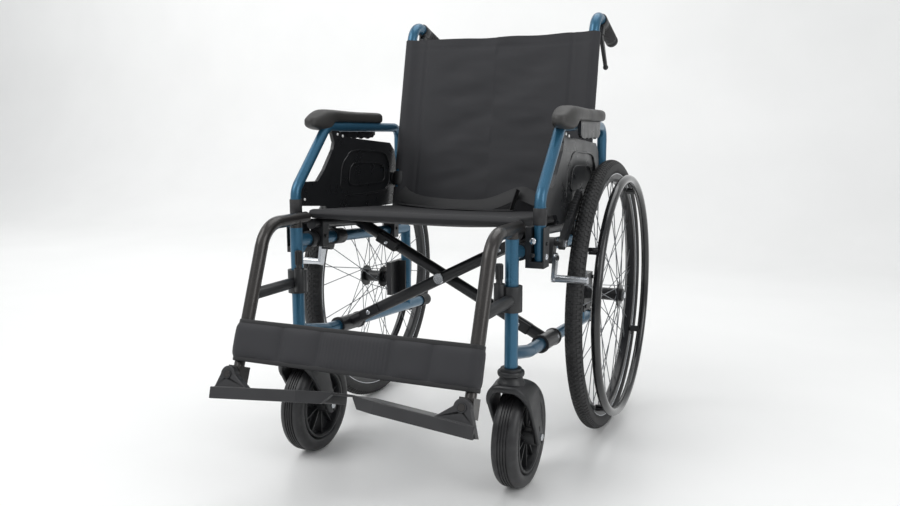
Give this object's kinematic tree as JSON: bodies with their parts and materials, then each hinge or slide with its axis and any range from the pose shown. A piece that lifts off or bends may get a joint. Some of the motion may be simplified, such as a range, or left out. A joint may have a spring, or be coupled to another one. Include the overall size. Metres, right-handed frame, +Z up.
{
  "type": "folding manual wheelchair",
  "caption": "Folding manual wheelchair with cross brace, flip-back armrests, swing-away footrests, swivel casters and handrims.",
  "frame": {"origin": "on the floor under the middle of the whole outline", "axes": "+X towards the chair's left side, -Y to the front, +Z up"},
  "size_m": [0.697, 1.01, 0.9502],
  "materials": {
    "blue_paint": "gloss powder coat",
    "grip_rubber": "moulded, matt",
    "black_paint": "satin",
    "gunmetal_paint": "metallic satin",
    "black_plastic": "moulded",
    "tyre_rubber": "matt",
    "bright_steel": "polished",
    "black_nylon": "woven"
  },
  "bodies": {
    "left_frame": {"side_frame_left": "blue_paint", "back_cane_left": "blue_paint", "push_grip_left": "grip_rubber", "grip_bracket_left": "black_plastic", "tipping_tip_left": "grip_rubber", "axle_block_left": "black_paint", "seat_saddles_left": "black_plastic", "arm_socket_left": "black_plastic", "arm_hinge_left": "black_plastic", "brake_mount_left": "black_plastic", "back_sling": "black_nylon"},
    "right_frame": {"side_frame_right": "blue_paint", "back_cane_right": "blue_paint", "push_grip_right": "grip_rubber", "grip_bracket_right": "black_plastic", "tipping_tip_right": "grip_rubber", "axle_block_right": "black_paint", "seat_saddles_right": "black_plastic", "arm_socket_right": "black_plastic", "arm_hinge_right": "black_plastic", "brake_mount_right": "black_plastic"},
    "brace_rear": {"brace_rear": "black_paint", "brace_bolt": "bright_steel"},
    "brace_front": {"brace_front": "black_paint", "seat_sling": "black_nylon"},
    "armrest_left": {"armrest_tube_left": "blue_paint", "arm_pad_left": "grip_rubber", "side_panel_left": "black_plastic"},
    "rear_wheel_left": {"rear_tyre_left": "tyre_rubber", "rear_rim_left": "black_paint", "rear_hub_left": "black_paint", "handrim_left": "black_paint"},
    "caster_fork_left": {"caster_fork_left": "black_plastic"},
    "caster_wheel_left": {"caster_tyre_left": "tyre_rubber", "caster_rim_left": "black_plastic"},
    "hanger_left": {"hanger_left": "gunmetal_paint", "hanger_clamp_left": "black_plastic", "footrest_rod_left": "gunmetal_paint", "calf_strap": "black_nylon"},
    "footplate_left": {"footplate_left": "black_plastic"},
    "brake_lever_left": {"brake_lever_left": "black_plastic"},
    "brake_shoe_left": {"brake_shoe_left": "bright_steel"},
    "attendant_lever_left": {"attendant_lever_left": "gunmetal_paint"},
    "armrest_right": {"armrest_tube_right": "blue_paint", "arm_pad_right": "grip_rubber", "side_panel_right": "black_plastic"},
    "rear_wheel_right": {"rear_tyre_right": "tyre_rubber", "rear_rim_right": "black_paint", "rear_hub_right": "black_paint", "handrim_right": "black_paint"},
    "caster_fork_right": {"caster_fork_right": "black_plastic"},
    "caster_wheel_right": {"caster_tyre_right": "tyre_rubber", "caster_rim_right": "black_plastic"},
    "hanger_right": {"hanger_right": "gunmetal_paint", "hanger_clamp_right": "black_plastic", "footrest_rod_right": "gunmetal_paint"},
    "footplate_right": {"footplate_right": "black_plastic"},
    "brake_lever_right": {"brake_lever_right": "black_plastic"},
    "brake_shoe_right": {"brake_shoe_right": "bright_steel"},
    "attendant_lever_right": {"attendant_lever_right": "gunmetal_paint"}
  },
  "joints": [
    {"name": "fold", "type": "hinge", "parent": "left_frame", "child": "brace_rear", "pos_m": [0.23, -0.03102, 0.24335], "axis": [0, 0.9984, -0.0558], "range_deg": [0, 46], "deforming": ["back_sling", "calf_strap"]},
    {"name": "brace_cross", "type": "hinge", "parent": "brace_rear", "child": "brace_front", "pos_m": [0, -0.03845, 0.36123], "axis": [0, 0.9984, -0.0558], "range_deg": [-92, 0], "deforming": ["seat_sling"]},
    {"name": "brace_foot", "type": "hinge", "parent": "brace_front", "child": "right_frame", "pos_m": [-0.23, -0.05898, 0.24491], "axis": [0, 0.9984, -0.0558], "range_deg": [0, 46]},
    {"name": "armrest_flip_left", "type": "hinge", "parent": "left_frame", "child": "armrest_left", "pos_m": [0.265, 0.266, 0.556], "axis": [-1, 0, 0], "range_deg": [0, 90]},
    {"name": "rear_wheel_spin_left", "type": "hinge", "parent": "left_frame", "child": "rear_wheel_left", "pos_m": [0.301, 0.2, 0.305], "axis": [1, 0, 0], "continuous": true},
    {"name": "caster_swivel_left", "type": "hinge", "parent": "left_frame", "child": "caster_fork_left", "pos_m": [0.23, -0.253, 0.222], "axis": [0, 0, 1], "continuous": true},
    {"name": "caster_spin_left", "type": "hinge", "parent": "caster_fork_left", "child": "caster_wheel_left", "pos_m": [0.23, -0.201, 0.1], "axis": [1, 0, 0], "continuous": true},
    {"name": "hanger_swing_left", "type": "hinge", "parent": "left_frame", "child": "hanger_left", "pos_m": [0.23, -0.253, 0.48], "axis": [0, 0, 1], "range_deg": [0, 90]},
    {"name": "footplate_flip_left", "type": "hinge", "parent": "hanger_left", "child": "footplate_left", "pos_m": [0.229, -0.46733, 0.236], "axis": [0, 0.9367, -0.3502], "range_deg": [0, 85]},
    {"name": "brake_lever_turn_left", "type": "hinge", "parent": "left_frame", "child": "brake_lever_left", "pos_m": [0.272, -0.09, 0.45552], "axis": [1, 0, 0], "range_deg": [0, 45]},
    {"name": "brake_shoe_turn_left", "type": "hinge", "parent": "left_frame", "child": "brake_shoe_left", "pos_m": [0.266, -0.1, 0.42852], "axis": [1, 0, 0], "range_deg": [0, 13]},
    {"name": "attendant_squeeze_left", "type": "hinge", "parent": "left_frame", "child": "attendant_lever_left", "pos_m": [0.235, 0.35317, 0.90894], "axis": [1, 0, 0], "range_deg": [0, 25]},
    {"name": "armrest_flip_right", "type": "hinge", "parent": "right_frame", "child": "armrest_right", "pos_m": [-0.265, 0.266, 0.556], "axis": [-1, 0, 0], "range_deg": [0, 90]},
    {"name": "rear_wheel_spin_right", "type": "hinge", "parent": "right_frame", "child": "rear_wheel_right", "pos_m": [-0.301, 0.2, 0.305], "axis": [1, 0, 0], "continuous": true},
    {"name": "caster_swivel_right", "type": "hinge", "parent": "right_frame", "child": "caster_fork_right", "pos_m": [-0.23, -0.253, 0.222], "axis": [0, 0, 1], "continuous": true},
    {"name": "caster_spin_right", "type": "hinge", "parent": "caster_fork_right", "child": "caster_wheel_right", "pos_m": [-0.23, -0.201, 0.1], "axis": [1, 0, 0], "continuous": true},
    {"name": "hanger_swing_right", "type": "hinge", "parent": "right_frame", "child": "hanger_right", "pos_m": [-0.23, -0.253, 0.48], "axis": [0, 0, -1], "range_deg": [0, 90]},
    {"name": "footplate_flip_right", "type": "hinge", "parent": "hanger_right", "child": "footplate_right", "pos_m": [-0.229, -0.46733, 0.236], "axis": [0, -0.9367, 0.3502], "range_deg": [0, 85]},
    {"name": "brake_lever_turn_right", "type": "hinge", "parent": "right_frame", "child": "brake_lever_right", "pos_m": [-0.272, -0.09, 0.45552], "axis": [1, 0, 0], "range_deg": [0, 45]},
    {"name": "brake_shoe_turn_right", "type": "hinge", "parent": "right_frame", "child": "brake_shoe_right", "pos_m": [-0.266, -0.1, 0.42852], "axis": [1, 0, 0], "range_deg": [0, 13]},
    {"name": "attendant_squeeze_right", "type": "hinge", "parent": "right_frame", "child": "attendant_lever_right", "pos_m": [-0.235, 0.35317, 0.90894], "axis": [1, 0, 0], "range_deg": [0, 25]}
  ],
  "couplings": [
    {"joint": "brace_cross", "follows": "fold", "ratio": -2},
    {"joint": "brace_foot", "follows": "fold", "ratio": 1},
    {"joint": "footplate_flip_left", "follows": "fold", "ratio": 1.8478},
    {"joint": "brake_shoe_turn_left", "follows": "brake_lever_turn_left", "ratio": 0.28888},
    {"joint": "footplate_flip_right", "follows": "fold", "ratio": 1.8478},
    {"joint": "brake_shoe_turn_right", "follows": "brake_lever_turn_right", "ratio": 0.28888}
  ]
}
